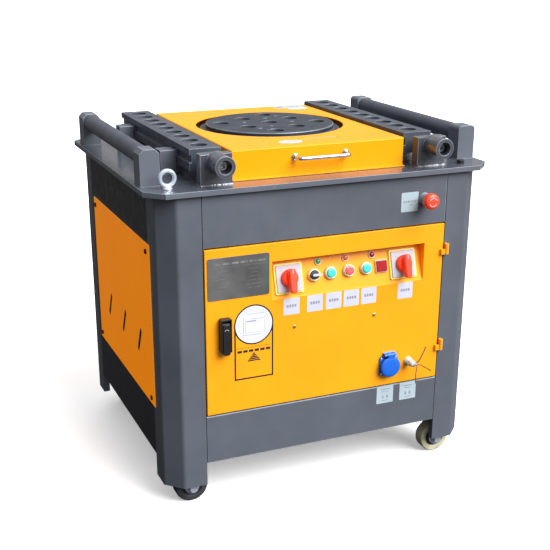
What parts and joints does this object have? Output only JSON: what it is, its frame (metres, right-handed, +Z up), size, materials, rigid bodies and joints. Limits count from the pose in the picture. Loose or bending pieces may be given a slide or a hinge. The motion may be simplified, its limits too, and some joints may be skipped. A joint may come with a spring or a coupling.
{
  "type": "rebar bender",
  "caption": "Floor-standing electric rebar bender: a geared work disc with pin sockets, sliding socket bars, bar rollers, a hinged lid and a control door.",
  "frame": {"origin": "on the floor, at the middle of the machine's outline", "axes": "+Z up, +X to the operator's right, +Y from the control door to the rear"},
  "size_m": [0.85, 0.76, 0.84],
  "materials": {
    "grey_paint": "satin dark blue-grey paint",
    "yellow_paint": "satin warm yellow paint",
    "dark_steel": "dark oiled and painted steel",
    "machined_steel": "turned steel",
    "zinc_steel": "zinc-plated steel",
    "chrome": "polished chrome",
    "cast_housing": "painted casting",
    "motor_housing": "painted aluminium housing",
    "belt_rubber": "matte rubber",
    "black_wheel": "dark moulded wheel",
    "cream_wheel": "cream moulded wheel",
    "plate_metal": "brushed dark plate",
    "bezel_metal": "cream moulded bezels",
    "black_plastic": "black moulding",
    "white_plastic": "white moulding",
    "red_plastic": "red moulding",
    "green_plastic": "blue-green moulding",
    "lamp_plastic": "coloured lenses",
    "blue_plastic": "blue moulding",
    "wire_blue": "blue insulation",
    "wire_brown": "brown insulation",
    "wire_grey": "grey insulation"
  },
  "bodies": {
    "stand": {"table_plate": "grey_paint", "front_legs": "grey_paint", "rear_legs": "grey_paint", "front_panels": "grey_paint", "frame_sheets": "grey_paint", "inner_supports": "grey_paint", "cover_panels": "yellow_paint", "panel_screws": "zinc_steel", "caster_forks": "zinc_steel", "roller_posts": "grey_paint", "guide_blocks": "grey_paint", "screw_blocks": "grey_paint", "lifting_hardware": "zinc_steel", "hinge_brackets": "yellow_paint", "gearbox_case": "cast_housing", "gearbox_cover": "cast_housing", "v_belt": "belt_rubber", "motor": "motor_housing", "control_box": "grey_paint", "emergency_stop_base": "black_plastic"},
    "wheel_front_left": {"wheel_front_left": "black_wheel"},
    "wheel_front_right": {"wheel_front_right": "cream_wheel"},
    "wheel_rear_left": {"wheel_rear_left": "black_wheel"},
    "wheel_rear_right": {"wheel_rear_right": "black_wheel"},
    "roller_left": {"roller_left": "dark_steel"},
    "roller_right": {"roller_right": "dark_steel"},
    "bar_left": {"socket_bar_left": "dark_steel"},
    "bar_right": {"socket_bar_right": "dark_steel"},
    "screw_left": {"adjusting_screw_left": "machined_steel"},
    "screw_right": {"adjusting_screw_right": "machined_steel"},
    "lid": {"lid": "yellow_paint", "lid_handle": "chrome"},
    "work_spindle": {"work_disc": "dark_steel", "main_spindle": "machined_steel", "main_gear": "machined_steel"},
    "third_shaft": {"third_shaft": "machined_steel"},
    "second_shaft": {"second_shaft": "machined_steel"},
    "input_shaft": {"input_shaft": "machined_steel", "input_pulley": "cast_housing"},
    "motor_shaft": {"motor_pulley": "cast_housing"},
    "door": {"door": "yellow_paint", "latch_plate": "black_plastic", "nameplate": "plate_metal", "cam_switches": "white_plastic", "button_bezels": "bezel_metal", "indicator_lamps": "lamp_plastic", "socket_outlet": "blue_plastic", "cable_gland": "white_plastic", "wire_blue": "wire_blue", "wire_brown": "wire_brown", "wire_grey": "wire_grey"},
    "latch_handle": {"latch_handle": "black_plastic"},
    "cam_left": {"cam_handle_left": "red_plastic"},
    "cam_right": {"cam_handle_right": "red_plastic"},
    "selector": {"selector_knob": "black_plastic"},
    "button_left": {"button_left": "green_plastic"},
    "button_middle": {"button_middle": "red_plastic"},
    "button_right": {"button_right": "green_plastic"},
    "stop_head": {"emergency_stop_head": "red_plastic"},
    "socket_lid": {"socket_lid": "blue_plastic"}
  },
  "joints": [
    {"name": "wheel_front_left_roll", "type": "hinge", "parent": "stand", "child": "wheel_front_left", "pos_m": [-0.334, -0.29, 0.04], "axis": [0, 1, 0], "continuous": true},
    {"name": "wheel_front_right_roll", "type": "hinge", "parent": "stand", "child": "wheel_front_right", "pos_m": [0.334, -0.29, 0.04], "axis": [0, 1, 0], "continuous": true},
    {"name": "wheel_rear_left_roll", "type": "hinge", "parent": "stand", "child": "wheel_rear_left", "pos_m": [-0.312, 0.321, 0.04], "axis": [0, 1, 0], "continuous": true},
    {"name": "wheel_rear_right_roll", "type": "hinge", "parent": "stand", "child": "wheel_rear_right", "pos_m": [0.312, 0.321, 0.04], "axis": [0, 1, 0], "continuous": true},
    {"name": "roller_left_turn", "type": "hinge", "parent": "stand", "child": "roller_left", "pos_m": [-0.395, 0.016, 0.8175], "axis": [0, 1, 0], "continuous": true},
    {"name": "roller_right_turn", "type": "hinge", "parent": "stand", "child": "roller_right", "pos_m": [0.395, 0.016, 0.8175], "axis": [0, 1, 0], "continuous": true},
    {"name": "spindle_turn", "type": "hinge", "parent": "stand", "child": "work_spindle", "pos_m": [0, 0.015, 0.8], "axis": [0, 0, 1], "continuous": true},
    {"name": "third_shaft_turn", "type": "hinge", "parent": "stand", "child": "third_shaft", "pos_m": [-0.11999, 0.14101, 0.65], "axis": [0, 0, 1], "continuous": true},
    {"name": "second_shaft_turn", "type": "hinge", "parent": "stand", "child": "second_shaft", "pos_m": [-0.22505, 0.08301, 0.65], "axis": [0, 0, 1], "continuous": true},
    {"name": "input_shaft_turn", "type": "hinge", "parent": "stand", "child": "input_shaft", "pos_m": [-0.22505, -0.02099, 0.65], "axis": [0, 0, 1], "continuous": true},
    {"name": "motor_shaft_turn", "type": "hinge", "parent": "stand", "child": "motor_shaft", "pos_m": [0.255, 0.062, 0.5], "axis": [0, 0, 1], "continuous": true},
    {"name": "bar_left_adjust", "type": "slide", "parent": "stand", "child": "bar_left", "axis": [0, 1, 0], "range_m": [-0.015, 0.015]},
    {"name": "bar_right_adjust", "type": "slide", "parent": "stand", "child": "bar_right", "axis": [0, 1, 0], "range_m": [-0.015, 0.015]},
    {"name": "screw_left_turn", "type": "hinge", "parent": "stand", "child": "screw_left", "pos_m": [-0.2585, -0.293, 0.809], "axis": [0, 1, 0], "range_deg": [-902, 902]},
    {"name": "screw_right_turn", "type": "hinge", "parent": "stand", "child": "screw_right", "pos_m": [0.2745, -0.293, 0.809], "axis": [0, 1, 0], "range_deg": [-902, 902]},
    {"name": "lid_open", "type": "hinge", "parent": "stand", "child": "lid", "pos_m": [0, 0.293, 0.769], "axis": [-1, 0, 0], "range_deg": [0, 85]},
    {"name": "door_open", "type": "hinge", "parent": "stand", "child": "door", "pos_m": [0.309, -0.345, 0.43], "axis": [0, 0, 1], "range_deg": [0, 110]},
    {"name": "latch_lift", "type": "hinge", "parent": "door", "child": "latch_handle", "pos_m": [-0.2585, -0.3515, 0.454], "axis": [-1, 0, 0], "range_deg": [0, 60]},
    {"name": "cam_left_turn", "type": "hinge", "parent": "door", "child": "cam_left", "pos_m": [-0.097, -0.32593, 0.53479], "axis": [0, -0.9607, 0.2775], "range_deg": [-60, 60]},
    {"name": "cam_right_turn", "type": "hinge", "parent": "door", "child": "cam_right", "pos_m": [0.199, -0.32593, 0.53479], "axis": [0, -0.9607, 0.2775], "range_deg": [-60, 60]},
    {"name": "selector_turn", "type": "hinge", "parent": "door", "child": "selector", "pos_m": [-0.0335, -0.32593, 0.53479], "axis": [0, -0.9607, 0.2775], "range_deg": [0, 90]},
    {"name": "button_left_press", "type": "slide", "parent": "door", "child": "button_left", "axis": [0, 0.9607, -0.2775], "range_m": [0, 0.004], "stiffness_N_per_m": 250, "springref_m": -0.002},
    {"name": "button_middle_press", "type": "slide", "parent": "door", "child": "button_middle", "axis": [0, 0.9607, -0.2775], "range_m": [0, 0.004], "stiffness_N_per_m": 250, "springref_m": -0.002},
    {"name": "button_right_press", "type": "slide", "parent": "door", "child": "button_right", "axis": [0, 0.9607, -0.2775], "range_m": [0, 0.004], "stiffness_N_per_m": 250, "springref_m": -0.002},
    {"name": "stop_head_press", "type": "slide", "parent": "stand", "child": "stop_head", "axis": [0, 1, 0], "range_m": [0, 0.005]},
    {"name": "socket_lid_open", "type": "hinge", "parent": "door", "child": "socket_lid", "pos_m": [0.165, -0.35, 0.314], "axis": [-1, 0, 0], "range_deg": [0, 100]}
  ],
  "couplings": [
    {"joint": "third_shaft_turn", "follows": "spindle_turn", "ratio": -3.8333},
    {"joint": "second_shaft_turn", "follows": "spindle_turn", "ratio": 11.5},
    {"joint": "input_shaft_turn", "follows": "spindle_turn", "ratio": -38.333},
    {"joint": "motor_shaft_turn", "follows": "spindle_turn", "ratio": -115},
    {"joint": "screw_left_turn", "follows": "bar_left_adjust", "rad_per_m": 1047.2},
    {"joint": "screw_right_turn", "follows": "bar_right_adjust", "rad_per_m": 1047.2}
  ]
}
